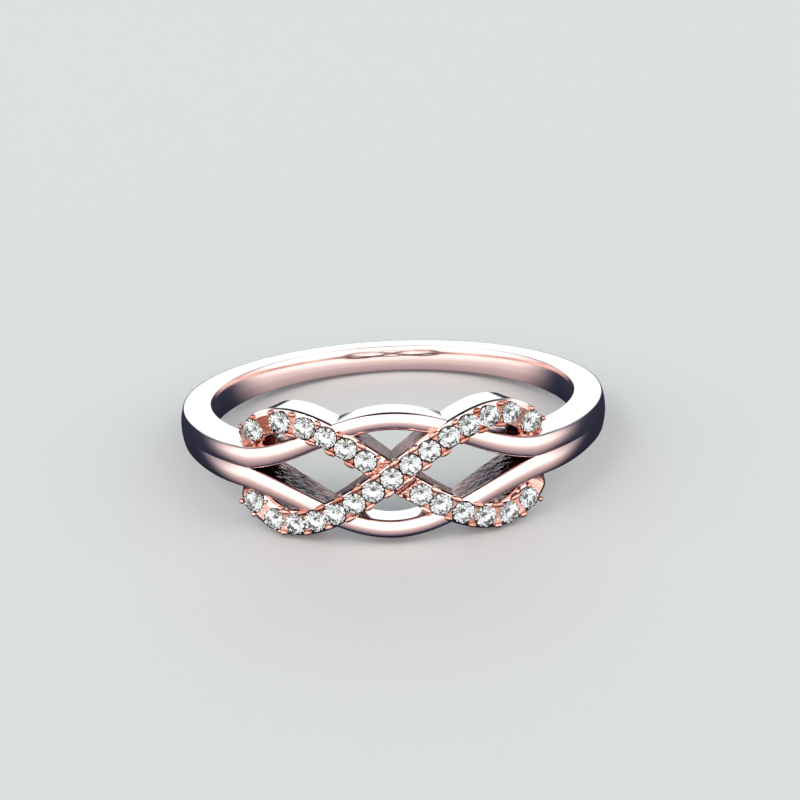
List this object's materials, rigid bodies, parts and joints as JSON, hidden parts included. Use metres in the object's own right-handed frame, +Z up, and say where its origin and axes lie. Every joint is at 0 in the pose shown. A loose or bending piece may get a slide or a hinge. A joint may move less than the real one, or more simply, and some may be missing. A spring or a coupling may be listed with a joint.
{
  "type": "infinity ring",
  "caption": "Finger ring whose plain band parts into two polished strands that weave through a stone-set figure of eight.",
  "frame": {"origin": "middle of the footprint, on the surface that the ring lies on", "axes": "+Z up, and -Y towards the middle of the stone-set head; the bore leans 8 degrees back from +Z, because the head is wider than the band"},
  "size_m": [0.0202, 0.0203, 0.0063],
  "materials": {
    "rose_gold": "polished",
    "stone": "clear"
  },
  "bodies": {
    "root": {"ring_metal": "rose_gold", "long_arm_stone_1": "stone", "long_arm_stone_2": "stone", "long_arm_stone_3": "stone", "long_arm_stone_4": "stone", "long_arm_stone_5": "stone", "long_arm_stone_6": "stone", "long_arm_stone_7": "stone", "long_arm_stone_8": "stone", "long_arm_stone_9": "stone", "long_arm_stone_10": "stone", "long_arm_stone_11": "stone", "long_arm_stone_12": "stone", "long_arm_stone_13": "stone", "long_arm_stone_14": "stone", "long_arm_stone_15": "stone", "left_arm_stone_1": "stone", "left_arm_stone_2": "stone", "left_arm_stone_3": "stone", "left_arm_stone_4": "stone", "left_arm_stone_5": "stone", "left_arm_stone_6": "stone", "right_arm_stone_1": "stone", "right_arm_stone_2": "stone", "right_arm_stone_3": "stone", "right_arm_stone_4": "stone", "right_arm_stone_5": "stone", "right_arm_stone_6": "stone"}
  },
  "joints": []
}
